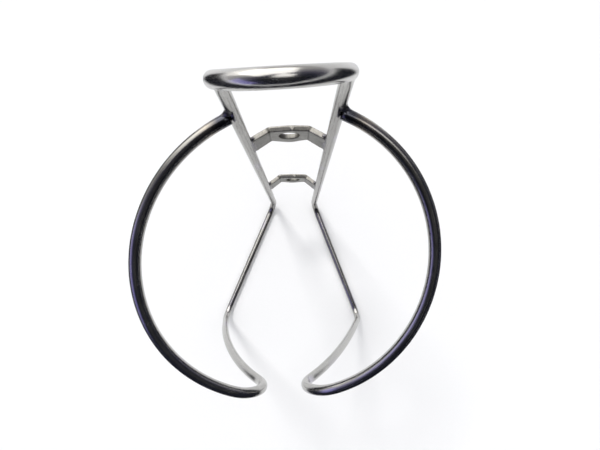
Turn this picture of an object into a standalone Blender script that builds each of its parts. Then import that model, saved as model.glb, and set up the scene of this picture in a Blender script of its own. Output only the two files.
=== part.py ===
"""Bicycle water bottle cage bent from one steel rod, with two mounting tabs and six weld beads.

The cage stands on its base: +Z runs up the bottle, -Y is the open front, +Y faces the bike frame.
Lengths below are in millimetres and angles in degrees; MM turns them into metres in the meshes.
"""
import math

import bmesh
import bpy
from mathutils import Matrix, Vector

MM = 0.001
GAP = 0.3                                   # clearance left between neighbouring pieces

# Driving sizes of the rod
ROD_RADIUS = 1.55
ROD_SIDES = 12
BOTTLE_Y = -1.8                             # bottle axis, measured from the middle of the footprint
RING_RADIUS = 37.9                          # bottle axis to rod centre

# Rails: two nearly parallel uprights at the back
RAIL_FOOT = Vector((11.3, BOTTLE_Y + 37.6, ROD_RADIUS))
RAIL_TOP = Vector((12.6, BOTTLE_Y + 37.3, ROD_RADIUS + 156.8))

# Top loop: half an ellipse drawn on a sheet that bends toward the bottle above the rails
LOOP_RISE = 24.3
LOOP_LEAN = 27.4
LOOP_BEND = 12.0
LOOP_STEPS = 10

# Base prongs run forward from the rails and turn up at the front corners
BASE_CORNER = Vector((36.9, BOTTLE_Y - 26.4, ROD_RADIUS))
FOOT_BEND = 7.0
CORNER_BEND = 6.5
BEND_STEP = 13.0                            # largest turn between two rings of a tight bend

# The front upright and the arm, drawn on the bottle cylinder unrolled flat: (around, up)
BASE_AROUND = RING_RADIUS * math.atan2(BASE_CORNER.x, BOTTLE_Y - BASE_CORNER.y)
WRAP_CORNERS = ((BASE_AROUND, 0.0), (27.2, 54.0), (1.0, 100.8), (67.4, 132.8), (106.5, 140.5))
WRAP_BENDS = (190.0, 15.5, 320.0)
WRAP_STEP = 3.2
FLARE = math.hypot(BASE_CORNER.x, BOTTLE_Y - BASE_CORNER.y) - RING_RADIUS
FLARE_TOP = WRAP_CORNERS[2][1]
CORNER_CLEAR = 9.0                          # height where the upright leaves the corner bend
ARM_STOP = ROD_RADIUS * 2 + GAP             # arm end face to rail centre, before the weld bead

# The cage is bent by hand and a little out of true
RACK = 0.00042                              # right side sits back, left side forward, more with height
SWAY = 1.8                                  # front uprights bow this far to the left
SWAY_TOP = 112.0

# Mounting tabs: bent straps behind the rails
BOLT_SPACING = 64.0
LOWER_BOLT = ROD_RADIUS + 47.9
TAB_HEIGHTS = {"lower": LOWER_BOLT, "upper": LOWER_BOLT + BOLT_SPACING}
TAB_THICK = 1.7
TAB_SETBACKS = {"lower": 4.3, "upper": 3.7}  # flat's middle plane behind the rail centres
TAB_FLAT = 12.4
TAB_BEND = 1.8
TAB_EYE_TOP = 4.9                           # hole centre up to the strap's edge
TAB_EYE_BOTTOM = 6.0
TAB_NECK_HALF = 4.3                         # where the wings bend
TAB_WING_HALF = 4.9                         # at the welds
HOLE_HALF = (3.15, 2.85)

# Weld beads
BEAD_GROW = 1.2                             # bead reach past the rod or strap that it surrounds
BEAD_SEGMENTS = 16
BEAD_RINGS = 10
BEAD_FULLNESS = 0.55


def clear_scene():
    for old in list(bpy.data.objects):
        bpy.data.objects.remove(old, do_unlink=True)


def steel(name, colour, roughness):
    """Plain metal material for one slot."""
    material = bpy.data.materials.new(name)
    material.use_nodes = True
    shader = material.node_tree.nodes["Principled BSDF"]
    shader.inputs["Base Color"].default_value = (*colour, 1.0)
    shader.inputs["Metallic"].default_value = 1.0
    shader.inputs["Roughness"].default_value = roughness
    return material


def add_object(name, shape, material):
    """Turn a bmesh in millimetres into a named object in metres."""
    bmesh.ops.recalc_face_normals(shape, faces=shape.faces)
    bmesh.ops.scale(shape, vec=(MM, MM, MM), verts=shape.verts)
    mesh = bpy.data.meshes.new(name)
    shape.to_mesh(mesh)
    shape.free()
    mesh.materials.append(material)
    for face in mesh.polygons:
        face.use_smooth = True
    mesh.set_sharp_from_angle(angle=math.radians(40))
    made = bpy.data.objects.new(name, mesh)
    bpy.context.scene.collection.objects.link(made)
    return made


def rounded(corners, bends, step=BEND_STEP):
    """Polyline through the corners, each inner corner replaced by an arc of the given radius."""
    corners = [Vector(corner).to_3d() for corner in corners]
    points = [corners[0]]
    for before, corner, after, radius in zip(corners, corners[1:], corners[2:], bends):
        to_before = (before - corner).normalized()
        to_after = (after - corner).normalized()
        turn = math.pi - to_before.angle(to_after)
        middle = corner + (to_before + to_after).normalized() * radius / math.cos(turn / 2)
        start = corner + to_before * radius * math.tan(turn / 2) - middle
        axis = to_after.cross(to_before)
        count = max(2, math.ceil(math.degrees(turn) / step))
        for index in range(count + 1):
            spin = Matrix.Rotation(turn * index / count, 3, axis)
            points.append(middle + spin @ start)
    points.append(corners[-1])
    return points


def evenly(points, step):
    """The same route with a point about every step."""
    lengths = [(b - a).length for a, b in zip(points, points[1:])]
    total = sum(lengths)
    count = round(total / step)
    route = []
    for index in range(count + 1):
        left = total * index / count
        leg = 0
        while leg < len(lengths) - 1 and left > lengths[leg]:
            left -= lengths[leg]
            leg += 1
        route.append(points[leg].lerp(points[leg + 1], left / lengths[leg]))
    return route


def around_bottle(flat):
    """Wrap an unrolled (around, up) point onto the bottle; the foot of the upright flares out."""
    angle = flat.x / RING_RADIUS
    radius = RING_RADIUS
    if angle < math.pi / 3:
        radius += FLARE * max(0.0, 1 - flat.y / FLARE_TOP) ** 1.5
    across = radius * math.sin(angle)
    along = BOTTLE_Y - radius * math.cos(angle)
    return Vector((across, along, ROD_RADIUS + flat.y))


def rail_at(height):
    """Rail centre at a height above the floor."""
    share = (height - RAIL_FOOT.z) / (RAIL_TOP.z - RAIL_FOOT.z)
    return RAIL_FOOT.lerp(RAIL_TOP, share)


def on_loop_sheet(across, rise):
    """Place a point of the loop, drawn flat, on the sheet that bends toward the bottle."""
    lean = math.radians(LOOP_LEAN)
    tangent = LOOP_BEND * math.tan(lean / 2)
    bend_length = LOOP_BEND * lean
    along = rise + tangent
    if along < bend_length:
        turned = max(0.0, along) / LOOP_BEND
        forward = LOOP_BEND * (1 - math.cos(turned))
        up = LOOP_BEND * math.sin(turned) + min(0.0, along)
    else:
        straight = along - bend_length
        forward = LOOP_BEND * (1 - math.cos(lean)) + straight * math.sin(lean)
        up = LOOP_BEND * math.sin(lean) + straight * math.cos(lean)
    return Vector((across, RAIL_TOP.y - forward, RAIL_TOP.z - tangent + up))


def half_loop():
    """From the middle of the top loop down to the start of the right rail."""
    points = []
    for index in range(LOOP_STEPS + 1):
        angle = math.pi / 2 * (1 - index / LOOP_STEPS)
        points.append(on_loop_sheet(RAIL_TOP.x * math.cos(angle), LOOP_RISE * math.sin(angle)))
    points.append(on_loop_sheet(RAIL_TOP.x, -LOOP_BEND * math.tan(math.radians(LOOP_LEAN / 2))))
    return points


def side_wrap():
    """The right upright above its corner bend, the front tip and the arm up to its weld."""
    flat = evenly(rounded(WRAP_CORNERS, WRAP_BENDS, step=2.0), WRAP_STEP)
    route = [around_bottle(point) for point in flat if point.y > CORNER_CLEAR or point.x > BASE_AROUND]
    while (route[-1].xy - rail_at(route[-1].z).xy).length < ARM_STOP:
        route.pop()
    rail = rail_at(route[-1].z)
    heading = (route[-1] - route[-2]).normalized()
    reach = (rail - route[-1]).dot(heading) - ROD_RADIUS - GAP
    route.append(route[-1] + heading * reach)
    return route


def as_bent(point):
    """Move a point of the true, symmetric cage to where the hand-bent one has it."""
    front = max(0.0, (BOTTLE_Y - point.y) / RING_RADIUS)
    sway = SWAY * front * max(0.0, math.sin(math.pi * point.z / SWAY_TOP))
    return Vector((point.x - sway, point.y + RACK * point.x * point.z, point.z))


def one_side(points, side):
    """A right-hand route, or its mirror image for side -1, as the hand-bent cage has it."""
    return [as_bent(Vector((side * point.x, point.y, point.z))) for point in points]


def half_rod():
    """The whole right half, from the middle of the loop to the end of the arm."""
    wrap = side_wrap()
    corners = (rail_at(RAIL_TOP.z - LOOP_BEND), RAIL_FOOT, BASE_CORNER, wrap[0])
    base = rounded(corners, (FOOT_BEND, CORNER_BEND))
    return half_loop() + base[:-1] + wrap


def sweep(points, radius, sides=ROD_SIDES):
    """Round bar along a route, closed at both ends; its section is carried along without twist."""
    shape = bmesh.new()
    normal = (points[1] - points[0]).orthogonal().normalized()
    rings = []
    for index, point in enumerate(points):
        before = points[max(index - 1, 0)]
        after = points[min(index + 1, len(points) - 1)]
        to_here = (point - before).normalized()
        to_next = (after - point).normalized()
        heading = (to_here + to_next).normalized()
        normal = (normal - heading * normal.dot(heading)).normalized()
        side = heading.cross(normal)
        ring = []
        for corner in range(sides):
            angle = math.tau * corner / sides
            ring.append(shape.verts.new(point + (normal * math.cos(angle) + side * math.sin(angle)) * radius))
        rings.append(ring)
    for ring, following in zip(rings, rings[1:]):
        for corner in range(sides):
            other = (corner + 1) % sides
            shape.faces.new((ring[corner], ring[other], following[other], following[corner]))
    shape.faces.new(rings[0])
    shape.faces.new(rings[-1])
    return shape


def make_frame(material):
    half = half_rod()
    route = one_side(half, -1)[:0:-1] + one_side(half, 1)
    return add_object("frame_rod", sweep(route, ROD_RADIUS), material)


def wing_angle(level):
    """How far each wing turns from the flat to head straight for its rail."""
    return math.atan2(TAB_SETBACKS[level], rail_at(TAB_HEIGHTS[level]).x - TAB_FLAT / 2)


def strap_half_length(level):
    """Flat half plus the wing, which stops one gap short of the rail."""
    wing = (rail_at(TAB_HEIGHTS[level]).x - TAB_FLAT / 2) / math.cos(wing_angle(level))
    return TAB_FLAT / 2 + wing - ROD_RADIUS - GAP


def strap_columns(level):
    """Positions along the strap: close together round the hole and the bends."""
    hole = [HOLE_HALF[0] * math.cos(math.pi * step / 10) for step in range(11)]
    bend = TAB_BEND * wing_angle(level)
    half = [TAB_FLAT / 2 - bend - 1.2, TAB_FLAT / 2 - bend]
    half += [TAB_FLAT / 2 - bend / 2, TAB_FLAT / 2, strap_half_length(level)]
    return sorted(hole + half + [-place for place in half])


def on_strap(level, along, offset=0.0, up=0.0):
    """Point of a bent strap; offset is measured from its middle plane toward the bike frame."""
    side = math.copysign(1, along)
    angle = wing_angle(level)
    start = TAB_FLAT / 2 - TAB_BEND * angle
    past = max(0.0, abs(along) - start)
    turned = min(past / TAB_BEND, angle)
    wing = max(0.0, past - TAB_BEND * angle)
    across = min(abs(along), start) + TAB_BEND * math.sin(turned) + wing * math.cos(turned)
    across = side * (across + offset * math.sin(turned))
    back = offset * math.cos(turned) - TAB_BEND * (1 - math.cos(turned)) - wing * math.sin(turned)
    height = TAB_HEIGHTS[level]
    middle = rail_at(height).y + TAB_SETBACKS[level]
    return Vector((across, middle + back + RACK * across * height, height + up))


def strap_half_height(level, along, sign):
    """The strap swells into an eye round the hole, mostly below it, and widens toward its welds."""
    if abs(along) < TAB_FLAT / 2:
        eye = TAB_EYE_TOP if sign > 0 else TAB_EYE_BOTTOM
        return TAB_NECK_HALF + (eye - TAB_NECK_HALF) * math.cos(math.pi * along / TAB_FLAT) ** 2
    wing = (abs(along) - TAB_FLAT / 2) / (strap_half_length(level) - TAB_FLAT / 2)
    return TAB_NECK_HALF + (TAB_WING_HALF - TAB_NECK_HALF) * wing


def hole_half_height(along):
    share = min(1.0, abs(along) / HOLE_HALF[0])
    return HOLE_HALF[1] * math.sqrt(1 - share ** 2)


def make_tab(level, material):
    """One strap: an upper and a lower strip that meet beyond the hole, thickened and bent."""
    shape = bmesh.new()
    for sign in (1, -1):
        rings = []
        for along in strap_columns(level):
            inner = sign * hole_half_height(along)
            outer = sign * strap_half_height(level, along, sign)
            corners = ((-1, inner), (1, inner), (1, outer), (-1, outer))
            places = [on_strap(level, along, face * TAB_THICK / 2, up) for face, up in corners]
            rings.append([shape.verts.new(place) for place in places])
        for ring, following in zip(rings, rings[1:]):
            for index in range(4):
                other = (index + 1) % 4
                shape.faces.new((ring[index], ring[other], following[other], following[index]))
        shape.faces.new(rings[0])
        shape.faces.new(rings[-1])
    bmesh.ops.remove_doubles(shape, verts=shape.verts, dist=0.001)
    drop_inner_faces(shape, TAB_HEIGHTS[level])
    return add_object(f"{level}_mounting_tab", shape, material)


def drop_inner_faces(shape, height):
    """Remove the doubled faces where the two strips meet on the middle line."""
    inner = [face for face in shape.faces if all(abs(vert.co.z - height) < 0.001 for vert in face.verts)]
    bmesh.ops.delete(shape, geom=inner, context="FACES")


def blob(centre, heading, radii, fullness=1.0):
    """Ellipsoid with its first radius along the heading and its last one up.

    A fullness under one keeps it wide nearly to its top and bottom, like a capsule.
    """
    shape = bmesh.new()
    bmesh.ops.create_uvsphere(shape, u_segments=BEAD_SEGMENTS, v_segments=BEAD_RINGS, radius=1)
    for vert in shape.verts:
        vert.co.z = math.copysign(abs(vert.co.z) ** fullness, vert.co.z)
    across = heading.cross(Vector((0, 0, 1))).normalized()
    up = across.cross(heading)
    turn = Matrix((heading, across, up)).transposed().to_4x4()
    bmesh.ops.transform(shape, matrix=turn @ Matrix.Diagonal((*radii, 1)), verts=shape.verts)
    bmesh.ops.translate(shape, vec=centre, verts=shape.verts)
    return shape


def cut_with(piece, name, shape, material):
    """Subtract a hidden cutter from a piece."""
    cutter = add_object(name, shape, material)
    cutter.hide_render = True
    cutter.display_type = "WIRE"
    cut = piece.modifiers.new(name, "BOOLEAN")
    cut.operation = "DIFFERENCE"
    cut.solver = "EXACT"
    cut.object = cutter


def rail_cutter(height, side):
    ends = one_side([rail_at(height - 12), rail_at(height + 12)], side)
    return sweep(ends, ROD_RADIUS + GAP, sides=24)


def make_arm_weld(label, side, material):
    """Collar that joins an arm end to the outside of its rail."""
    name = f"weld_arm_{label}"
    route = one_side(side_wrap()[-5:], side)
    end = route[-1]
    heading = (route[-1] - route[-2]).normalized()
    reach = ROD_RADIUS + BEAD_GROW
    bead = add_object(name, blob(end, heading, (reach * 0.95, reach, reach)), material)
    arm = route[:-1] + [end + heading * GAP]
    cut_with(bead, name + "_arm_cutter", sweep(arm, ROD_RADIUS + GAP, sides=24), material)
    cut_with(bead, name + "_rail_cutter", rail_cutter(end.z, side), material)
    return bead


def wing_cutter(level, side):
    """Box round the end of one wing, a gap larger all round."""
    end = side * strap_half_length(level)
    middle = (on_strap(level, end) + on_strap(level, end - side * 3)) / 2
    size = (3 + 2 * GAP, TAB_THICK + 2 * GAP, 2 * (TAB_WING_HALF + GAP))
    turn = Matrix.Rotation(RACK * middle.z - side * wing_angle(level), 4, "Z")
    shape = bmesh.new()
    bmesh.ops.create_cube(shape, size=1)
    bmesh.ops.transform(shape, matrix=turn @ Matrix.Diagonal((*size, 1)), verts=shape.verts)
    bmesh.ops.translate(shape, vec=middle, verts=shape.verts)
    return shape


def make_tab_weld(level, label, side, material):
    """Collar that joins one wing of a tab to the back of its rail."""
    name = f"weld_{level}_tab_{label}"
    centre = on_strap(level, side * strap_half_length(level))
    angle = wing_angle(level)
    heading = Vector((side * math.cos(angle), -math.sin(angle), 0))
    radii = (TAB_THICK / 2 + BEAD_GROW, TAB_THICK / 2 + BEAD_GROW, TAB_WING_HALF + BEAD_GROW)
    bead = add_object(name, blob(centre, heading, radii, BEAD_FULLNESS), material)
    cut_with(bead, name + "_wing_cutter", wing_cutter(level, side), material)
    cut_with(bead, name + "_rail_cutter", rail_cutter(centre.z, side), material)
    return bead


def build():
    clear_scene()
    polished = steel("polished_steel", (0.62, 0.61, 0.60), 0.12)
    satin = steel("satin_steel", (0.50, 0.49, 0.46), 0.35)
    bead = steel("weld_steel", (0.30, 0.29, 0.29), 0.30)
    make_frame(polished)
    for level in TAB_HEIGHTS:
        make_tab(level, satin)
    for label, side in (("left", -1), ("right", 1)):
        make_arm_weld(label, side, bead)
        for level in TAB_HEIGHTS:
            make_tab_weld(level, label, side, bead)


build()
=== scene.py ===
import math
from typing import NamedTuple

import bmesh
import bpy
from mathutils import Matrix, Vector


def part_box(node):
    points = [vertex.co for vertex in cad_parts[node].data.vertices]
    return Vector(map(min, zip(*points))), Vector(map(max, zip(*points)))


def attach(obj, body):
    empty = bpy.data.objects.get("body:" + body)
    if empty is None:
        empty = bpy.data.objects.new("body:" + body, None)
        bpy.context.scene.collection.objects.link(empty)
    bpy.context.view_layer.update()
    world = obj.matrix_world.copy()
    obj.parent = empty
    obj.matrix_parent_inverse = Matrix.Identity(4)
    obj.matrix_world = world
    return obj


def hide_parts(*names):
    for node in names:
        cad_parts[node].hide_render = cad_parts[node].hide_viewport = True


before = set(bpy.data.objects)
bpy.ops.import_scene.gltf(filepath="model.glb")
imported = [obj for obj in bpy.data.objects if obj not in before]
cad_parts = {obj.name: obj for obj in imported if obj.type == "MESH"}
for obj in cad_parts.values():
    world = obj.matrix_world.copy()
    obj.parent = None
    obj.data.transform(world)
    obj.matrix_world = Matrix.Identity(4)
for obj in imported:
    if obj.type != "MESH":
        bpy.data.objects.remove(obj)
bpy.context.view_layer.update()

MM = 0.001

# Route of the rod, the same driving sizes as the CAD model
ROD_RADIUS = 1.55
BOTTLE_Y = -1.8                             # bottle axis, measured from the middle of the footprint
RING_RADIUS = 37.9                          # bottle axis to rod centre
RAIL_FOOT = Vector((11.3, BOTTLE_Y + 37.6, ROD_RADIUS))
RAIL_TOP = Vector((12.6, BOTTLE_Y + 37.3, ROD_RADIUS + 156.8))
LOOP_RISE = 24.3
LOOP_LEAN = 27.4
LOOP_BEND = 12.0
BASE_CORNER = Vector((36.9, BOTTLE_Y - 26.4, ROD_RADIUS))
FOOT_BEND = 7.0
CORNER_BEND = 6.5
BASE_AROUND = RING_RADIUS * math.atan2(BASE_CORNER.x, BOTTLE_Y - BASE_CORNER.y)
WRAP_CORNERS = ((BASE_AROUND, 0.0), (27.2, 54.0), (1.0, 100.8), (67.4, 132.8), (106.5, 140.5))
WRAP_BENDS = (190.0, 15.5, 320.0)
FLARE = math.hypot(BASE_CORNER.x, BOTTLE_Y - BASE_CORNER.y) - RING_RADIUS
FLARE_TOP = WRAP_CORNERS[2][1]
CORNER_CLEAR = 9.0
RACK = 0.00042
SWAY = 1.8
SWAY_TOP = 112.0

# How finely the rod is drawn
FINE_STEP = 0.5                             # between points of the route before it is spaced evenly
FINE_TURN = 3.0                             # largest turn between two points of an arc
ROD_STEP = 1.1                              # between two rings of the rod
ROD_SIDES = 32
LOOP_STEPS = 48
JOINT_SINK = 0.35                           # how far a bar reaches into the rail under its weld
OVAL = 0.035                                # share by which the tight bends flatten

# How the rod's finish and painted light change along it: painted shade darkens the rails, a painted
# highlight lightens the top loop
FRONT_START = 25.0                          # the rails are dull and painted darker as shade; the polished, lighter tone grows from here forward
FRONT_REACH = 50.0
TOP_REACH = 12.0                            # it grows toward the top loop too, where the lighter tone is a painted highlight
TINT_REACH = 6.0                            # how far the heat tint spreads along the arm from its weld
BOTTLE_REACH = 4.0                          # the bottle rubs the rod this close outside the ring
BOTTLE_START = 20.0                         # and from this height up
RUB_FOCUS = 3                               # how narrow the rubbed strip is

# Mounting tabs
LEVELS = ("lower", "upper")
TAB_THICK = 1.7
TAB_SETBACKS = {"lower": 4.3, "upper": 3.7}
TAB_FLAT = 12.4
TAB_BEND = 1.8
TAB_EYE_TOP = 4.9                           # hole centre up to the strap's edge
TAB_EYE_BOTTOM = 6.0
TAB_NECK_HALF = 4.3                         # where the wings bend
TAB_WING_HALF = 4.9                         # at the welds
TAB_CORNER = 1.3                            # rounding of the strap's corners, seen from the front
TAB_EDGE = 0.34                             # rounding of its sheared edges
TAB_RINGS = 26                              # points from the hole to the outer edge
TAB_STEPS = 48                              # points along a quarter of the outline
TAB_END_STEPS = 4                           # points up half of a wing's end
TAB_END_RUN = 1.0                           # the wing's heading is read this far before its end
TAB_TINT_REACH = 2.0                        # how far the heat tint spreads from its welds
CREASE_HALF = 0.5                           # half width of the tool mark and the painted shade along each bend
COIN_DEEP = 1.15                            # coined top front edge of the flat: along the thickness
COIN_TALL = 0.45
COIN_BREAK = 0.9                            # the coining stops here, beside the hole's middle
COIN_BREAK_HALF = 0.55
COIN_BREAK_POWER = 4                        # how suddenly it stops
COIN_FADE = 0.3                             # over this length it starts at the ends of the flat
HOLE_HALF = (3.15, 2.85)
HOLE_EDGE = 0.28
HOLE_WEAR = 0.25                            # how bright the hole's edges are, where the outer edges are 1

# Weld fillets
ARM_LEG = 1.5                               # reach of the fillet along the bar and along the rail
TAB_LEG = 1.15
ARM_POWER = 1.0                             # section of the bar: 1 is an ellipse, less is squarer
TAB_POWER = 0.6
WELD_SPREAD = 0.8                           # share of its leg that the fillet reaches round the rail
WELD_THROAT = 0.28                          # how far the fillet fills its corner
WELD_TOE = 0.5                              # share of its leg along the bar where the rail turns away
WELD_ROOT = 0.4                             # how deep its edges go under the bar's surface
WELD_AROUND = 96                            # points round the bar
WELD_ACROSS = 12                            # steps over the fillet
WELD_RUN = 4.0                              # the bar is followed to the rail from this far back
RAIL_SPAN = 4.0                             # the rail's direction is read this far below and above a joint
RIPPLE_POINTS = 6                           # points of the fillet for each fine ripple
RIPPLE_FINE = 0.02
RIPPLE_COARSE = 0.05


# ---------------------------------------------------------------- route of the rod

def rounded(corners, bends, step=FINE_TURN):
    """Polyline through the corners, each inner corner replaced by an arc of the given radius."""
    corners = [Vector(corner).to_3d() for corner in corners]
    points = [corners[0]]
    for before, corner, after, radius in zip(corners, corners[1:], corners[2:], bends):
        to_before = (before - corner).normalized()
        to_after = (after - corner).normalized()
        turn = math.pi - to_before.angle(to_after)
        middle = corner + (to_before + to_after).normalized() * radius / math.cos(turn / 2)
        start = corner + to_before * radius * math.tan(turn / 2) - middle
        axis = to_after.cross(to_before)
        count = max(2, math.ceil(math.degrees(turn) / step))
        for index in range(count + 1):
            spin = Matrix.Rotation(turn * index / count, 3, axis)
            points.append(middle + spin @ start)
    points.append(corners[-1])
    return points


def evenly(points, step):
    """The same route with a point about every step."""
    lengths = [(b - a).length for a, b in zip(points, points[1:])]
    total = sum(lengths)
    count = round(total / step)
    route = []
    leg = 0
    passed = 0.0
    for index in range(count + 1):
        along = total * index / count
        while leg < len(lengths) - 1 and along > passed + lengths[leg]:
            passed += lengths[leg]
            leg += 1
        route.append(points[leg].lerp(points[leg + 1], min(1.0, (along - passed) / lengths[leg])))
    return route


def around_bottle(flat):
    """Wrap an unrolled (around, up) point onto the bottle; the foot of the upright flares out."""
    angle = flat.x / RING_RADIUS
    radius = RING_RADIUS
    if angle < math.pi / 3:
        radius += FLARE * max(0.0, 1 - flat.y / FLARE_TOP) ** 1.5
    across = radius * math.sin(angle)
    along = BOTTLE_Y - radius * math.cos(angle)
    return Vector((across, along, ROD_RADIUS + flat.y))


def rail_at(height):
    """Rail centre at a height above the floor."""
    share = (height - RAIL_FOOT.z) / (RAIL_TOP.z - RAIL_FOOT.z)
    return RAIL_FOOT.lerp(RAIL_TOP, share)


def on_loop_sheet(across, rise):
    """Place a point of the loop, drawn flat, on the sheet that bends toward the bottle."""
    lean = math.radians(LOOP_LEAN)
    tangent = LOOP_BEND * math.tan(lean / 2)
    bend_length = LOOP_BEND * lean
    along = rise + tangent
    if along < bend_length:
        turned = max(0.0, along) / LOOP_BEND
        forward = LOOP_BEND * (1 - math.cos(turned))
        up = LOOP_BEND * math.sin(turned) + min(0.0, along)
    else:
        straight = along - bend_length
        forward = LOOP_BEND * (1 - math.cos(lean)) + straight * math.sin(lean)
        up = LOOP_BEND * math.sin(lean) + straight * math.cos(lean)
    return Vector((across, RAIL_TOP.y - forward, RAIL_TOP.z - tangent + up))


def half_loop():
    """From the middle of the top loop down to the start of the right rail."""
    points = []
    for index in range(LOOP_STEPS + 1):
        angle = math.pi / 2 * (1 - index / LOOP_STEPS)
        points.append(on_loop_sheet(RAIL_TOP.x * math.cos(angle), LOOP_RISE * math.sin(angle)))
    points.append(on_loop_sheet(RAIL_TOP.x, -LOOP_BEND * math.tan(math.radians(LOOP_LEAN / 2))))
    return points


def side_wrap():
    """The right upright above its corner bend, the front tip and the arm until it enters its rail."""
    flat = evenly(rounded(WRAP_CORNERS, WRAP_BENDS, step=1.0), FINE_STEP)
    route = [around_bottle(point) for point in flat if point.y > CORNER_CLEAR or point.x > BASE_AROUND]
    while (route[-1].xy - rail_at(route[-1].z).xy).length < 2 * ROD_RADIUS:
        route.pop()
    rail = rail_at(route[-1].z)
    heading = (route[-1] - route[-3]).normalized()
    reach = (rail - route[-1]).dot(heading) - ROD_RADIUS + JOINT_SINK
    route.append(route[-1] + heading * reach)
    return route


def as_bent(point):
    """Move a point of the true, symmetric cage to where the hand-bent one has it."""
    front = max(0.0, (BOTTLE_Y - point.y) / RING_RADIUS)
    sway = SWAY * front * max(0.0, math.sin(math.pi * point.z / SWAY_TOP))
    return Vector((point.x - sway, point.y + RACK * point.x * point.z, point.z))


def one_side(points, side):
    """A right-hand route, or its mirror image for side -1, as the hand-bent cage has it."""
    return [as_bent(Vector((side * point.x, point.y, point.z))) for point in points]


def half_rod():
    """The whole right half, from the middle of the loop to the end of the arm."""
    wrap = side_wrap()
    corners = (rail_at(RAIL_TOP.z - LOOP_BEND), RAIL_FOOT, BASE_CORNER, wrap[0])
    base = rounded(corners, (FOOT_BEND, CORNER_BEND))
    return half_loop() + base[:-1] + wrap


# ---------------------------------------------------------------- meshes

def grid_faces(rows, columns, close_rows):
    """Quads between rows of a grid whose columns run round; the rows may run round too."""
    faces = []
    for row in range(rows if close_rows else rows - 1):
        following = (row + 1) % rows
        for column in range(columns):
            other = (column + 1) % columns
            faces.append((
                row * columns + column,
                row * columns + other,
                following * columns + other,
                following * columns + column,
            ))
    return faces


def add_piece(name, rows, close_rows, attributes, material, nodes):
    """Make a piece from a grid of points, store its surface coordinates and stand it in for CAD nodes."""
    columns = len(rows[0])
    faces = grid_faces(len(rows), columns, close_rows)
    if not close_rows:
        faces.append(tuple(range(columns)))
        faces.append(tuple(range((len(rows) - 1) * columns, len(rows) * columns)))
    points = [point * MM for row in rows for point in row]
    mesh = bpy.data.meshes.new(name)
    mesh.from_pydata(points, [], faces)
    shape = bmesh.new()
    shape.from_mesh(mesh)
    bmesh.ops.recalc_face_normals(shape, faces=shape.faces)
    shape.to_mesh(mesh)
    shape.free()
    mesh.shade_smooth()
    for label, values in attributes.items():
        store(mesh, label, [value for row in values for value in row])
    mesh.materials.append(material)
    piece = bpy.data.objects.new(name, mesh)
    bpy.context.scene.collection.objects.link(piece)
    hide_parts(*nodes)
    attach(piece, "root")
    return piece


def store(mesh, label, values):
    """Keep one number or one vector for each point of the mesh, for its material to read."""
    if isinstance(values[0], float):
        layer = mesh.attributes.new(label, "FLOAT", "POINT")
        layer.data.foreach_set("value", values)
    else:
        layer = mesh.attributes.new(label, "FLOAT_VECTOR", "POINT")
        layer.data.foreach_set("vector", [number for value in values for number in value])


def sweep(route, sides):
    """Rings of points round a route and, for each point, its place on the same bar laid straight."""
    normal = (route[1] - route[0]).orthogonal().normalized()
    rings = []
    straight = []
    along = 0.0
    for index, point in enumerate(route):
        before = route[max(index - 1, 0)]
        after = route[min(index + 1, len(route) - 1)]
        to_here = (point - before).normalized()
        to_next = (after - point).normalized()
        heading = (to_here + to_next).normalized()
        normal = (normal - heading * normal.dot(heading)).normalized()
        side = heading.cross(normal)
        bend = to_next - to_here
        flat = min(1.0, bend.length / (ROD_STEP / CORNER_BEND)) * OVAL
        inward = bend.normalized()
        along += (point - before).length
        ring = []
        places = []
        for corner in range(sides):
            angle = math.tau * corner / sides
            out = normal * math.cos(angle) + side * math.sin(angle)
            squeezed = out - inward * out.dot(inward) * flat
            ring.append(point + squeezed * ROD_RADIUS)
            places.append((ROD_RADIUS * math.cos(angle), ROD_RADIUS * math.sin(angle), along))
        rings.append(ring)
        straight.append(places)
    return rings, straight


def nearness(point, places, reach):
    """One at the nearest of the places, falling off with distance."""
    nearest = min((point - place).length for place in places)
    return math.exp(-(nearest / reach) ** 2)


def make_rod(material):
    """The whole rod, with its finish and painted light stored for each point."""
    half = half_rod()
    route = evenly(one_side(half, -1)[:0:-1] + one_side(half, 1), ROD_STEP)
    rings, straight = sweep(route, ROD_SIDES)
    tint = []
    rub = []
    polish_and_light = []
    for index, (point, ring) in enumerate(zip(route, rings)):
        from_end = min(index, len(route) - 1 - index) * ROD_STEP
        tint.append([math.exp(-(from_end / TINT_REACH) ** 2)] * ROD_SIDES)
        # share of the lighter tone: none on the rails, which are painted darker as shade; full forward and
        # on the top loop, where it is a painted highlight
        front = (FRONT_START - point.y) / FRONT_REACH
        top = (point.z - RAIL_TOP.z + TOP_REACH) / TOP_REACH
        polish_and_light.append([max(0.0, min(1.0, max(front, top)))] * ROD_SIDES)
        to_bottle = Vector((-point.x, BOTTLE_Y - point.y, 0.0))
        near = to_bottle.length < RING_RADIUS + BOTTLE_REACH and point.z > BOTTLE_START
        beside = 1.0 if near else 0.0
        inward = to_bottle.normalized()
        facing = [max(0.0, (place - point).normalized().dot(inward)) for place in ring]
        rub.append([beside * share ** RUB_FOCUS for share in facing])
    values = {"straight": straight, "tint": tint, "rub": rub, "polish_and_light": polish_and_light}
    return add_piece("rod", rings, False, values, material, ["frame_rod"])


# ---------------------------------------------------------------- mounting tabs

def hole_height(node):
    """Height of a tab's hole, measured down from the top of its CAD node."""
    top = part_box(node)[1]
    return top.z / MM - max(TAB_EYE_TOP, TAB_WING_HALF)


TAB_HEIGHTS = {level: hole_height(f"{level}_mounting_tab") for level in LEVELS}


def wing_angle(level):
    """How far each wing turns from the flat to head straight for its rail."""
    return math.atan2(TAB_SETBACKS[level], rail_at(TAB_HEIGHTS[level]).x - TAB_FLAT / 2)


def strap_half_length(level):
    """Flat half plus the wing, which ends inside the weld at the rail."""
    wing = (rail_at(TAB_HEIGHTS[level]).x - TAB_FLAT / 2) / math.cos(wing_angle(level))
    return TAB_FLAT / 2 + wing - ROD_RADIUS + JOINT_SINK


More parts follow.
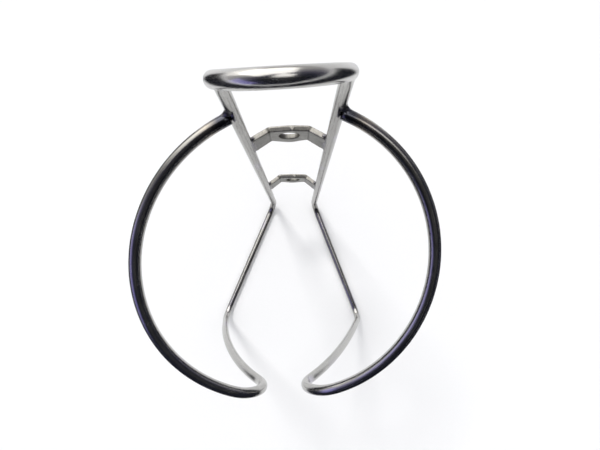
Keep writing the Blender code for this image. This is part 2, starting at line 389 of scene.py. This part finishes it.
def on_strap(level, along, offset=0.0, up=0.0):
    """Point of a bent strap; offset is measured from its middle plane toward the bike frame."""
    side = math.copysign(1, along)
    angle = wing_angle(level)
    start = TAB_FLAT / 2 - TAB_BEND * angle
    past = max(0.0, abs(along) - start)
    turned = min(past / TAB_BEND, angle)
    wing = max(0.0, past - TAB_BEND * angle)
    across = min(abs(along), start) + TAB_BEND * math.sin(turned) + wing * math.cos(turned)
    across = side * (across + offset * math.sin(turned))
    back = offset * math.cos(turned) - TAB_BEND * (1 - math.cos(turned)) - wing * math.sin(turned)
    height = TAB_HEIGHTS[level]
    middle = rail_at(height).y + TAB_SETBACKS[level]
    return Vector((across, middle + back + RACK * across * height, height + up))


def wing_end(level, side):
    """Middle of the strap's end, inside its weld."""
    return on_strap(level, side * strap_half_length(level))


def strap_half_height(along, half_length, sign):
    """The strap swells into an eye round the hole, mostly below it, and widens toward its welds."""
    if abs(along) < TAB_FLAT / 2:
        eye = TAB_EYE_TOP if sign > 0 else TAB_EYE_BOTTOM
        height = TAB_NECK_HALF + (eye - TAB_NECK_HALF) * math.cos(math.pi * along / TAB_FLAT) ** 2
    else:
        wing = (abs(along) - TAB_FLAT / 2) / (half_length - TAB_FLAT / 2)
        height = TAB_NECK_HALF + (TAB_WING_HALF - TAB_NECK_HALF) * wing
    past = min(TAB_CORNER, max(0.0, abs(along) - half_length + TAB_CORNER))
    return height - TAB_CORNER + math.sqrt(TAB_CORNER ** 2 - past ** 2)


def strap_edge(half_length, sign):
    """Right quarter of the strap's outline above or below the hole, from its end to its middle."""
    corner = strap_half_height(half_length, half_length, sign)
    ends = [sign * corner * step / TAB_END_STEPS for step in range(TAB_END_STEPS)]
    quarter = [Vector((half_length, up)) for up in ends]
    for step in range(TAB_STEPS + 1):
        along = half_length * math.cos(math.pi / 2 * step / TAB_STEPS)
        quarter.append(Vector((along, sign * strap_half_height(along, half_length, sign))))
    return quarter


def strap_outline(half_length):
    """Closed outline of the flat strap, anticlockwise from the middle of its right end."""
    upper = strap_edge(half_length, 1)
    lower = strap_edge(half_length, -1)
    upper += [Vector((-point.x, point.y)) for point in upper[-2::-1]]
    lower += [Vector((-point.x, point.y)) for point in lower[-2::-1]]
    return upper + lower[-2:0:-1]


def outline_normals(outline):
    """Unit normals that point out of a closed outline."""
    normals = []
    for index in range(len(outline)):
        run = outline[(index + 1) % len(outline)] - outline[index - 1]
        normals.append(Vector((run.y, -run.x)).normalized())
    return normals


def edge_round(steps=5):
    """(inset, sink) pairs of a unit quarter round, from the flat face to the middle of the edge."""
    angles = [math.pi / 2 * step / steps for step in range(steps + 1)]
    return [(1 - math.sin(angle), 1 - math.cos(angle)) for angle in angles]


def coined(place):
    """How far the top front edge is pressed down: over the flat, with a short break above the hole."""
    beside = min(1.0, abs(place.x - COIN_BREAK) / COIN_BREAK_HALF)
    ends = max(0.0, min(1.0, (TAB_FLAT / 2 - abs(place.x)) / COIN_FADE))
    return beside ** COIN_BREAK_POWER * ends if place.y > 0 else 0.0


def strap_section(outer, outward, hole, hole_outward):
    """One closed section of the strap, from the hole's front edge over the outline and back."""
    half = TAB_THICK / 2
    press = coined(outer)
    deep = TAB_EDGE + (COIN_DEEP - TAB_EDGE) * press
    tall = TAB_EDGE + (COIN_TALL - TAB_EDGE) * press
    front = []
    for inset, sink in reversed(edge_round()):
        front.append((hole + hole_outward * inset * HOLE_EDGE, half - sink * HOLE_EDGE, HOLE_WEAR))
    start = front[-1][0]
    finish = outer - outward * tall
    for step in range(1, TAB_RINGS):
        front.append((start.lerp(finish, step / TAB_RINGS), half, 0.0))
    for inset, sink in edge_round():
        # pressed straight where the edge is coined, round elsewhere
        straight = 1 - inset
        drop = (sink + (straight - sink) * press) * deep
        front.append((outer - outward * inset * tall, half - drop, 1.0))
    back = []
    for inset, sink in reversed(edge_round()):
        back.append((outer - outward * inset * TAB_EDGE, sink * TAB_EDGE - half, 1.0))
    finish = outer - outward * TAB_EDGE
    for step in range(TAB_RINGS - 1, 0, -1):
        back.append((start.lerp(finish, step / TAB_RINGS), -half, 0.0))
    for inset, sink in edge_round():
        back.append((hole + hole_outward * inset * HOLE_EDGE, sink * HOLE_EDGE - half, HOLE_WEAR))
    return front + back


def make_tab(level, material):
    """One strap as a closed ring of sections that run from its hole over its outline and back."""
    half_length = strap_half_length(level)
    outline = strap_outline(half_length)
    rows = []
    straight = []
    edges = []
    creases = []
    for outer, outward in zip(outline, outline_normals(outline)):
        angle = math.atan2(outer.y / HOLE_HALF[1], outer.x / HOLE_HALF[0])
        hole = Vector((HOLE_HALF[0] * math.cos(angle), HOLE_HALF[1] * math.sin(angle)))
        hole_outward = Vector((math.cos(angle) / HOLE_HALF[0], math.sin(angle) / HOLE_HALF[1])).normalized()
        section = strap_section(outer, outward, hole, hole_outward)
        rows.append([on_strap(level, place.x, -offset, place.y) for place, offset, edge in section])
        straight.append([(place.x, offset, place.y) for place, offset, edge in section])
        edges.append([edge for place, offset, edge in section])
        from_bend = [abs(place.x) - TAB_FLAT / 2 for place, offset, edge in section]
        creases.append([math.exp(-(distance / CREASE_HALF) ** 2) for distance in from_bend])
    welds = [wing_end(level, side) for side in (-1, 1)]
    tint = [[nearness(point, welds, TAB_TINT_REACH) for point in row] for row in rows]
    values = {"straight": straight, "edge": edges, "tint": tint, "crease": creases}
    node = f"{level}_mounting_tab"
    return add_piece(f"{level}_tab", rows, True, values, material, [node])


# ---------------------------------------------------------------- welds

class Joint(NamedTuple):
    """A bar that butts on a rail: its end and heading, and the rail's centre and axis beside the end."""
    end: Vector
    heading: Vector
    rail: Vector
    axis: Vector


def joint_at(end, heading, side):
    """The joint of a bar's end with the rail of its side."""
    heights = (end.z - RAIL_SPAN, end.z, end.z + RAIL_SPAN)
    low, middle, high = one_side([rail_at(height) for height in heights], side)
    return Joint(end, heading, middle, (high - low).normalized())


def hit_rail(joint, start):
    """Where a line along the bar comes to the rail: the point, the rail's side and the height there."""
    axis = joint.axis
    offset = start - joint.rail
    flat_offset = offset - axis * offset.dot(axis)
    flat_heading = joint.heading - axis * joint.heading.dot(axis)
    size = flat_heading.length_squared
    middle = -flat_offset.dot(flat_heading) / size
    closest = flat_offset + flat_heading * middle
    inside = max(0.0, ROD_RADIUS ** 2 - closest.length_squared)
    met = start + joint.heading * (middle - math.sqrt(inside / size))
    out = met - joint.rail
    height = out.dot(axis)
    return met, (out - axis * height).normalized(), height


def weld_strip(joint, start, bar_out, turn, leg):
    """Points across the bead at one place: under the bar's skin, over the fillet, under the rail's."""
    met, out, height = hit_rail(joint, start)
    facing = max(0.0, -out.dot(joint.heading))
    spread = Matrix.Rotation(WELD_SPREAD * leg * turn.x * facing / ROD_RADIUS, 3, joint.axis)
    foot_out = spread @ out
    foot = joint.rail + joint.axis * (height + leg * turn.y) + foot_out * ROD_RADIUS
    toe = met - joint.heading * leg * (WELD_TOE + (1 - WELD_TOE) * facing)
    corner = met.lerp((toe + foot) / 2, WELD_THROAT)
    points = [toe - bar_out * WELD_ROOT]
    for step in range(WELD_ACROSS + 1):
        share = step / WELD_ACROSS
        points.append(toe.lerp(corner, share).lerp(corner.lerp(foot, share), share))
    points.append(foot - foot_out * WELD_ROOT)
    points.append(joint.rail + joint.axis * height + out * (ROD_RADIUS - 2 * WELD_ROOT))
    return points


def make_weld(name, joint, halves, power, leg, material):
    """Fillet all round a bar that butts on a rail; halves and power give the bar's section."""
    across = joint.heading.cross(joint.axis).normalized()
    up = across.cross(joint.heading)
    rows = []
    places = []
    foot = []
    for index in range(WELD_AROUND):
        angle = math.tau * index / WELD_AROUND
        cosine = math.cos(angle)
        sine = math.sin(angle)
        u = halves[0] * math.copysign(abs(cosine) ** power, cosine)
        v = halves[1] * math.copysign(abs(sine) ** power, sine)
        start = joint.end + across * u + up * v - joint.heading * WELD_RUN
        bar_out = (across * cosine / halves[0] + up * sine / halves[1]).normalized()
        turn = Vector((bar_out.dot(across), bar_out.dot(up)))
        fine = RIPPLE_FINE * math.sin(index * math.tau / RIPPLE_POINTS)
        coarse = RIPPLE_COARSE * math.sin(2 * angle + joint.end.x)
        rows.append(weld_strip(joint, start, bar_out, turn, leg * (1 + fine + coarse)))
        count = len(rows[-1])
        shares = [step / count for step in range(count)]
        places.append([(angle * halves[1], share * 2 * leg, 0.0) for share in shares])
        foot.append(shares)
    values = {"straight": places, "foot": foot}
    return add_piece(name, rows, True, values, material, ["weld_" + name])


def make_arm_weld(label, side, material):
    """The bead that joins an arm to its rail."""
    route = one_side(side_wrap(), side)
    joint = joint_at(route[-1], (route[-1] - route[-3]).normalized(), side)
    halves = (ROD_RADIUS, ROD_RADIUS)
    return make_weld(f"arm_{label}", joint, halves, ARM_POWER, ARM_LEG, material)


def make_tab_weld(level, label, side, material):
    """The bead that joins a strap's wing to its rail."""
    end = wing_end(level, side)
    before = on_strap(level, side * (strap_half_length(level) - TAB_END_RUN))
    joint = joint_at(end, (end - before).normalized(), side)
    halves = (TAB_THICK / 2, TAB_WING_HALF)
    return make_weld(f"{level}_tab_{label}", joint, halves, TAB_POWER, TAB_LEG, material)


# ---------------------------------------------------------------- materials

# Where most of a grain's values lie
NARROW = (0.35, 0.65)
WIDE = (0.3, 0.7)

# Linear colours of the metal; a pair holds the two ends of its mottle
# The darker rod tone is painted shade on the rails; on the top loop the lighter tone is a painted highlight
ROD_DULL_SHADED = ((0.285, 0.28, 0.265), (0.33, 0.325, 0.31))
ROD_BRIGHT = ((0.46, 0.455, 0.44), (0.51, 0.505, 0.49))
ROD_LINE = (0.24, 0.235, 0.225)
# painted reflection: violet patches standing in for coloured light mirrored in the rod
ROD_VIOLET_REFLECTION = (0.46, 0.42, 0.62)
ROD_STRAW = (0.36, 0.31, 0.25)
ROD_BLUE = (0.055, 0.06, 0.08)
ROD_RUBBED = (0.74, 0.73, 0.71)
TAB_STAINED = ((0.175, 0.172, 0.158), (0.25, 0.246, 0.228))
TAB_LINE = (0.15, 0.147, 0.135)
TAB_SHEARED = (0.50, 0.485, 0.45)
# painted shade in the strap's bends
TAB_CREASE_SHADE = (0.10, 0.098, 0.09)
TAB_HEATED = (0.12, 0.115, 0.13)
WELD_TINTED = ((0.07, 0.075, 0.11), (0.22, 0.21, 0.21))
WELD_RIPPLE = (0.32, 0.29, 0.26)
WELD_FOOT = (0.29, 0.285, 0.27)
WELD_SPATTER = (0.08, 0.08, 0.09)


class Surface:
    """A Principled material with short calls for the nodes used here."""

    def __init__(self, name, roughness):
        self.material = bpy.data.materials.new(name)
        self.material.use_nodes = True
        self.nodes = self.material.node_tree.nodes
        self.shader = self.nodes["Principled BSDF"]
        self.shader.inputs["Metallic"].default_value = 1.0
        self.shader.inputs["Roughness"].default_value = roughness

    def join(self, output, target):
        """Link one node's output to another's input."""
        self.material.node_tree.links.new(output, target)

    def read(self, label, output="Fac"):
        """A value that its piece stores for each point."""
        node = self.nodes.new("ShaderNodeAttribute")
        node.attribute_name = label
        return node.outputs[output]

    def stretched(self, scale):
        """Coordinates on the straightened bar or strap, scaled along each of its directions."""
        node = self.nodes.new("ShaderNodeMapping")
        node.inputs["Scale"].default_value = scale
        self.join(self.read("straight", "Vector"), node.inputs["Vector"])
        return node.outputs["Vector"]

    def grain(self, scale, detail, warp=0.0):
        """Noise that is finer along a direction the larger that direction's scale is."""
        node = self.nodes.new("ShaderNodeTexNoise")
        node.inputs["Scale"].default_value = 1.0
        node.inputs["Detail"].default_value = detail
        node.inputs["Distortion"].default_value = warp
        self.join(self.stretched(scale), node.inputs["Vector"])
        return node.outputs["Fac"]

    def remap(self, value, low, high, to_low=0.0, to_high=1.0):
        """Stretch the values from low to high over a new range."""
        node = self.nodes.new("ShaderNodeMapRange")
        node.inputs["From Min"].default_value = low
        node.inputs["From Max"].default_value = high
        node.inputs["To Min"].default_value = to_low
        node.inputs["To Max"].default_value = to_high
        self.join(value, node.inputs["Value"])
        return node.outputs["Result"]

    def combine(self, operation, first, second):
        """One math operation on two values, each a number or another node's output."""
        node = self.nodes.new("ShaderNodeMath")
        node.operation = operation
        for value, target in ((first, node.inputs[0]), (second, node.inputs[1])):
            if isinstance(value, float):
                target.default_value = value
            else:
                self.join(value, target)
        return node.outputs["Value"]

    def blend(self, share, first, second):
        """Mix two colours, each a tuple or the output of another mix."""
        node = self.nodes.new("ShaderNodeMix")
        node.data_type = "RGBA"
        self.join(share, node.inputs["Factor"])
        for value, target in ((first, node.inputs[6]), (second, node.inputs[7])):
            if isinstance(value, tuple):
                target.default_value = (*value, 1.0)
            else:
                self.join(value, target)
        return node.outputs[2]

    def bump(self, height, distance, below=None):
        """Relief of the given depth, on top of another bump if there is one."""
        node = self.nodes.new("ShaderNodeBump")
        node.inputs["Strength"].default_value = 1.0
        node.inputs["Distance"].default_value = distance * MM
        self.join(height, node.inputs["Height"])
        if below is not None:
            self.join(below, node.inputs["Normal"])
        return node.outputs["Normal"]

    def finish(self, colour, roughness, normal):
        """Join the results to the shader and hand the material back."""
        self.join(colour, self.shader.inputs["Base Color"])
        self.join(roughness, self.shader.inputs["Roughness"])
        self.join(normal, self.shader.inputs["Normal"])
        return self.material


def polished_rod():
    """Drawn and polished steel: fine lines along the rod, rubbed inner side, heat tint at the welds;
    painted shade darkens the rails, a painted highlight lightens the top loop and violet patches are
    painted reflections.
    """
    surface = Surface("polished_rod", 0.2)
    lines = surface.grain((6.0, 6.0, 0.05), detail=4.0)
    mottle = surface.grain((0.25, 0.25, 0.09), detail=5.0, warp=1.2)
    specks = surface.grain((1.6, 1.6, 1.6), detail=2.0)
    scratches = surface.remap(surface.grain((9.0, 9.0, 0.35), detail=2.0, warp=2.0), 0.62, 0.70)
    rub = surface.combine("MULTIPLY", surface.read("rub"), scratches)
    tone = surface.remap(mottle, *NARROW)
    dull_shaded = surface.blend(tone, *ROD_DULL_SHADED)
    bright = surface.blend(tone, *ROD_BRIGHT)
    # painted shade on the rails, painted highlight on the top loop
    colour = surface.blend(surface.read("polish_and_light"), dull_shaded, bright)
    colour = surface.blend(surface.remap(lines, 0.35, 0.5, 0.18, 0.0), colour, ROD_LINE)
    # painted reflection: violet patches scattered along the rod
    violet_reflection = surface.remap(surface.grain((0.12, 0.12, 0.045), detail=2.0), 0.56, 0.70, 0.0, 0.35)
    colour = surface.blend(violet_reflection, colour, ROD_VIOLET_REFLECTION)
    tint = surface.read("tint")
    colour = surface.blend(surface.remap(tint, 0.05, 0.45, 0.0, 0.5), colour, ROD_STRAW)
    colour = surface.blend(surface.remap(tint, 0.40, 0.85, 0.0, 0.92), colour, ROD_BLUE)
    colour = surface.blend(rub, colour, ROD_RUBBED)
    rough = surface.remap(mottle, *WIDE, 0.17, 0.23)
    rough = surface.combine("ADD", rough, surface.remap(lines, *WIDE, 0.0, 0.07))
    rough = surface.combine("ADD", rough, surface.combine("MULTIPLY", rub, 0.12))
    normal = surface.bump(lines, 0.006)
    normal = surface.bump(specks, 0.004, normal)
    normal = surface.bump(rub, 0.004, normal)
    return surface.finish(colour, rough, normal)


def satin_tab():
    """Brushed strap: short lines along it, bright sheared edges, painted shade in the bends, stains and
    heat tint.
    """
    surface = Surface("satin_tab", 0.36)
    lines = surface.grain((0.35, 7.0, 9.0), detail=4.0)
    stains = surface.grain((0.4, 0.4, 0.5), detail=5.0, warp=1.5)
    shear = surface.grain((8.0, 0.6, 8.0), detail=3.0)
    edge = surface.read("edge")
    crease = surface.read("crease")
    colour = surface.blend(surface.remap(stains, *NARROW), *TAB_STAINED)
    colour = surface.blend(surface.remap(lines, 0.3, 0.5, 0.4, 0.0), colour, TAB_LINE)
    bright = surface.combine("MULTIPLY", edge, surface.remap(shear, *NARROW, 0.15, 0.85))
    colour = surface.blend(bright, colour, TAB_SHEARED)
    # painted shade darkens the bends
    colour = surface.blend(surface.remap(crease, 0.3, 0.9, 0.0, 0.85), colour, TAB_CREASE_SHADE)
    heated = surface.remap(surface.read("tint"), 0.1, 0.9, 0.0, 0.8)
    colour = surface.blend(heated, colour, TAB_HEATED)
    rough = surface.remap(lines, *WIDE, 0.30, 0.44)
    rough = surface.combine("ADD", rough, surface.combine("MULTIPLY", edge, 0.15))
    normal = surface.bump(lines, 0.012)
    normal = surface.bump(surface.combine("MULTIPLY", edge, shear), 0.02, normal)
    normal = surface.bump(surface.remap(crease, 0.0, 1.0, 1.0, 0.0), 0.10, normal)
    return surface.finish(colour, rough, normal)


def weld_bead():
    """Fillet of weld metal: ripples round the joint, blue to grey tints, small spatter."""
    surface = Surface("weld_bead", 0.28)
    ripples = surface.grain((1.6, 0.5, 1.0), detail=2.0, warp=0.6)
    tints = surface.grain((0.35, 0.9, 1.0), detail=3.0, warp=1.0)
    spatter = surface.remap(surface.grain((2.6, 2.6, 2.6), detail=1.0), 0.66, 0.74)
    colour = surface.blend(surface.remap(tints, *NARROW), *WELD_TINTED)
    colour = surface.blend(surface.remap(ripples, 0.5, 0.75, 0.0, 0.5), colour, WELD_RIPPLE)
    foot = surface.remap(surface.read("foot"), 0.45, 0.85, 0.0, 0.9)
    colour = surface.blend(foot, colour, WELD_FOOT)
    colour = surface.blend(spatter, colour, WELD_SPATTER)
    rough = surface.remap(ripples, *WIDE, 0.22, 0.40)
    normal = surface.bump(ripples, 0.05)
    normal = surface.bump(spatter, 0.03, normal)
    return surface.finish(colour, rough, normal)


# ---------------------------------------------------------------- studio

FLOOR_HALF = 3.0                            # metres
PAPER_TONES = (0.90, 0.93)
PAPER_FIBRES = 900.0                        # fibres to a metre
PAPER_RELIEF = 0.00003                      # metres
CAMERA_PLACE = Vector((3.58, BOTTLE_Y + 0.34, 232.57)) * MM
CAMERA_TURN = (0.1081, -0.0017, 0.0132)     # radians; the camera looks almost straight down
CAMERA_LENS = 24.36
CAMERA_FILM = 36.0
LIGHT_AIM = Vector((0.0, 0.0, 0.07))        # metres

# What the metal mirrors: name, place and size in metres, power in watts, colour
PANELS = (
    ("ceiling_panel", (-0.20, 0.565, 0.80), (1.45, 1.07), 10.0, (1.0, 0.98, 0.94)),
    ("front_panel", (0.20, -0.10, 0.85), (0.52, 0.45), 1.3, (1.0, 0.98, 0.94)),
    ("window_panel", (-0.62, 0.72, 0.42), (0.90, 0.70), 2.2, (1.0, 0.98, 0.94)),
    ("violet_panel", (-0.22, -0.10, 0.20), (0.24, 0.12), 0.070, (0.40, 0.36, 0.90)),
)

# What lights the floor: name, direction it comes from, watts per square metre, angle across, colour
SUNS = (
    ("sky_fill", (0.0, 0.0, 1.0), 2.06, 120.0, (0.99, 1.0, 1.0)),
    ("key_sun", (-0.35, 0.60, 1.0), 1.10, 12.0, (1.0, 0.99, 0.98)),
)

# Black card above the camera that keeps the metal's upper side dark: corners in metres
CARD_LOW = Vector((-0.045, -0.30, 0.2365))
CARD_HIGH = Vector((0.250, 0.005, 0.2365))

# Black curtain round the cage, open toward +Y: metres and degrees from +Y
CURTAIN_FOOT = 0.155                        # radius at the floor
CURTAIN_BRIM = 0.30                         # radius at the top
CURTAIN_HEIGHT = 0.11
CURTAIN_OPENING = 42.0
CURTAIN_STEPS = 48
CLOTH_COLOUR = (0.012, 0.013, 0.019)


def black_cloth():
    """Matt cloth that mirrors nothing."""
    material = bpy.data.materials.new("black_cloth")
    material.use_nodes = True
    shader = material.node_tree.nodes["Principled BSDF"]
    shader.inputs["Base Color"].default_value = (*CLOTH_COLOUR, 1.0)
    shader.inputs["Roughness"].default_value = 1.0
    shader.inputs["Specular IOR Level"].default_value = 0.0
    return material


def add_flag(name, corners, faces, material):
    """Black studio flag that shows only in reflections."""
    mesh = bpy.data.meshes.new(name)
    mesh.from_pydata(corners, [], faces)
    mesh.materials.append(material)
    flag = bpy.data.objects.new(name, mesh)
    flag.visible_camera = False
    flag.visible_diffuse = False
    flag.visible_shadow = False
    bpy.context.scene.collection.objects.link(flag)


def rectangle(low, high):
    """Corners of a level rectangle, in order round it."""
    return [low, (high.x, low.y, low.z), high, (low.x, high.y, high.z)]


def make_flags():
    """The card above the camera and the curtain round the cage."""
    cloth = black_cloth()
    add_flag("black_card", rectangle(CARD_LOW, CARD_HIGH), [(0, 1, 2, 3)], cloth)
    corners = []
    for step in range(CURTAIN_STEPS + 1):
        turned = math.radians(CURTAIN_OPENING + (360 - 2 * CURTAIN_OPENING) * step / CURTAIN_STEPS)
        for radius, height in ((CURTAIN_FOOT, 0.0), (CURTAIN_BRIM, CURTAIN_HEIGHT)):
            corners.append((radius * math.sin(turned), radius * math.cos(turned), height))
    faces = [(2 * step, 2 * step + 2, 2 * step + 3, 2 * step + 1) for step in range(CURTAIN_STEPS)]
    add_flag("black_curtain", corners, faces, cloth)


def make_floor():
    """Sheet of white paper under the cage."""
    mesh = bpy.data.meshes.new("paper_floor")
    corner = Vector((FLOOR_HALF, FLOOR_HALF, 0.0))
    mesh.from_pydata(rectangle(-corner, corner), [], [(0, 1, 2, 3)])
    material = bpy.data.materials.new("white_paper")
    material.use_nodes = True
    nodes = material.node_tree.nodes
    links = material.node_tree.links
    shader = nodes["Principled BSDF"]
    shader.inputs["Roughness"].default_value = 0.85
    shader.inputs["Specular IOR Level"].default_value = 0.1
    where = nodes.new("ShaderNodeTexCoord")
    fibres = nodes.new("ShaderNodeTexNoise")
    fibres.inputs["Scale"].default_value = PAPER_FIBRES
    fibres.inputs["Detail"].default_value = 4.0
    tone = nodes.new("ShaderNodeMapRange")
    tone.inputs["To Min"].default_value = PAPER_TONES[0]
    tone.inputs["To Max"].default_value = PAPER_TONES[1]
    links.new(where.outputs["Object"], fibres.inputs["Vector"])
    links.new(fibres.outputs["Fac"], tone.inputs["Value"])
    links.new(tone.outputs["Result"], shader.inputs["Base Color"])
    relief = nodes.new("ShaderNodeBump")
    relief.inputs["Distance"].default_value = PAPER_RELIEF
    links.new(fibres.outputs["Fac"], relief.inputs["Height"])
    links.new(relief.outputs["Normal"], shader.inputs["Normal"])
    mesh.materials.append(material)
    floor = bpy.data.objects.new("paper_floor", mesh)
    bpy.context.scene.collection.objects.link(floor)


def make_panels():
    """Soft boxes that show only in the metal."""
    for name, place, size, power, colour in PANELS:
        data = bpy.data.lights.new(name, "AREA")
        data.shape = "RECTANGLE"
        data.size, data.size_y = size
        data.energy = power
        data.color = colour
        panel = bpy.data.objects.new(name, data)
        panel.location = place
        panel.rotation_euler = (LIGHT_AIM - Vector(place)).to_track_quat("-Z", "Y").to_euler()
        panel.visible_diffuse = False
        bpy.context.scene.collection.objects.link(panel)


def make_suns():
    """Even light on the whole floor, which the metal doesn't mirror."""
    for name, origin, strength, angle, colour in SUNS:
        data = bpy.data.lights.new(name, "SUN")
        data.energy = strength
        data.angle = math.radians(angle)
        data.color = colour
        sun = bpy.data.objects.new(name, data)
        sun.rotation_euler = Vector(origin).to_track_quat("Z", "Y").to_euler()
        sun.visible_glossy = False
        bpy.context.scene.collection.objects.link(sun)


# The room that the metal mirrors: dark round this direction, lighter away from it
DARK_CENTRE = Vector((0.35, -0.80, 0.30)).normalized()
ROOM_TONES = (
    (0.00, (0.018, 0.020, 0.034)),
    (0.26, (0.028, 0.030, 0.050)),
    (0.40, (0.090, 0.088, 0.130)),
    (0.54, (0.240, 0.232, 0.270)),
    (0.72, (0.540, 0.530, 0.530)),
)
BACKDROP = (0.90, 0.90, 0.90)


def make_room():
    """White backdrop for the camera, and the graded dark room that the metal mirrors."""
    world = bpy.data.worlds.new("studio")
    bpy.context.scene.world = world
    world.use_nodes = True
    nodes = world.node_tree.nodes
    links = world.node_tree.links
    where = nodes.new("ShaderNodeTexCoord")
    facing = nodes.new("ShaderNodeVectorMath")
    facing.operation = "DOT_PRODUCT"
    facing.inputs[1].default_value = DARK_CENTRE
    links.new(where.outputs["Generated"], facing.inputs[0])
    away = nodes.new("ShaderNodeMapRange")
    away.inputs["From Min"].default_value = 1.0
    away.inputs["From Max"].default_value = -1.0
    links.new(facing.outputs["Value"], away.inputs["Value"])
    ramp = nodes.new("ShaderNodeValToRGB")
    links.new(away.outputs["Result"], ramp.inputs["Fac"])
    ramp.color_ramp.interpolation = "EASE"
    stops = ramp.color_ramp.elements
    stops[1].position = ROOM_TONES[-1][0]
    stops[1].color = (*ROOM_TONES[-1][1], 1.0)
    stops[0].color = (*ROOM_TONES[0][1], 1.0)
    for position, colour in ROOM_TONES[1:-1]:
        stops.new(position).color = (*colour, 1.0)
    mirrored = nodes["Background"]
    links.new(ramp.outputs["Color"], mirrored.inputs["Color"])
    backdrop = nodes.new("ShaderNodeBackground")
    backdrop.inputs["Color"].default_value = (*BACKDROP, 1.0)
    ray = nodes.new("ShaderNodeLightPath")
    choice = nodes.new("ShaderNodeMixShader")
    links.new(ray.outputs["Is Camera Ray"], choice.inputs["Fac"])
    links.new(mirrored.outputs["Background"], choice.inputs[1])
    links.new(backdrop.outputs["Background"], choice.inputs[2])
    links.new(choice.outputs["Shader"], nodes["World Output"].inputs["Surface"])


def make_camera():
    """The camera looks down into the cage from above its open top."""
    data = bpy.data.cameras.new("camera")
    data.lens = CAMERA_LENS
    data.sensor_width = CAMERA_FILM
    data.clip_start = 0.005
    camera = bpy.data.objects.new("camera", data)
    camera.location = CAMERA_PLACE
    camera.rotation_euler = CAMERA_TURN
    bpy.context.scene.collection.objects.link(camera)
    bpy.context.scene.camera = camera


def build():
    """The nine pieces, then everything round them."""
    rod_metal = polished_rod()
    tab_metal = satin_tab()
    bead_metal = weld_bead()
    make_rod(rod_metal)
    for level in LEVELS:
        make_tab(level, tab_metal)
    for label, side in (("left", -1), ("right", 1)):
        make_arm_weld(label, side, bead_metal)
        for level in LEVELS:
            make_tab_weld(level, label, side, bead_metal)
    make_floor()
    make_panels()
    make_suns()
    make_flags()
    make_room()
    make_camera()
    bpy.context.scene.view_settings.view_transform = "Standard"


build()
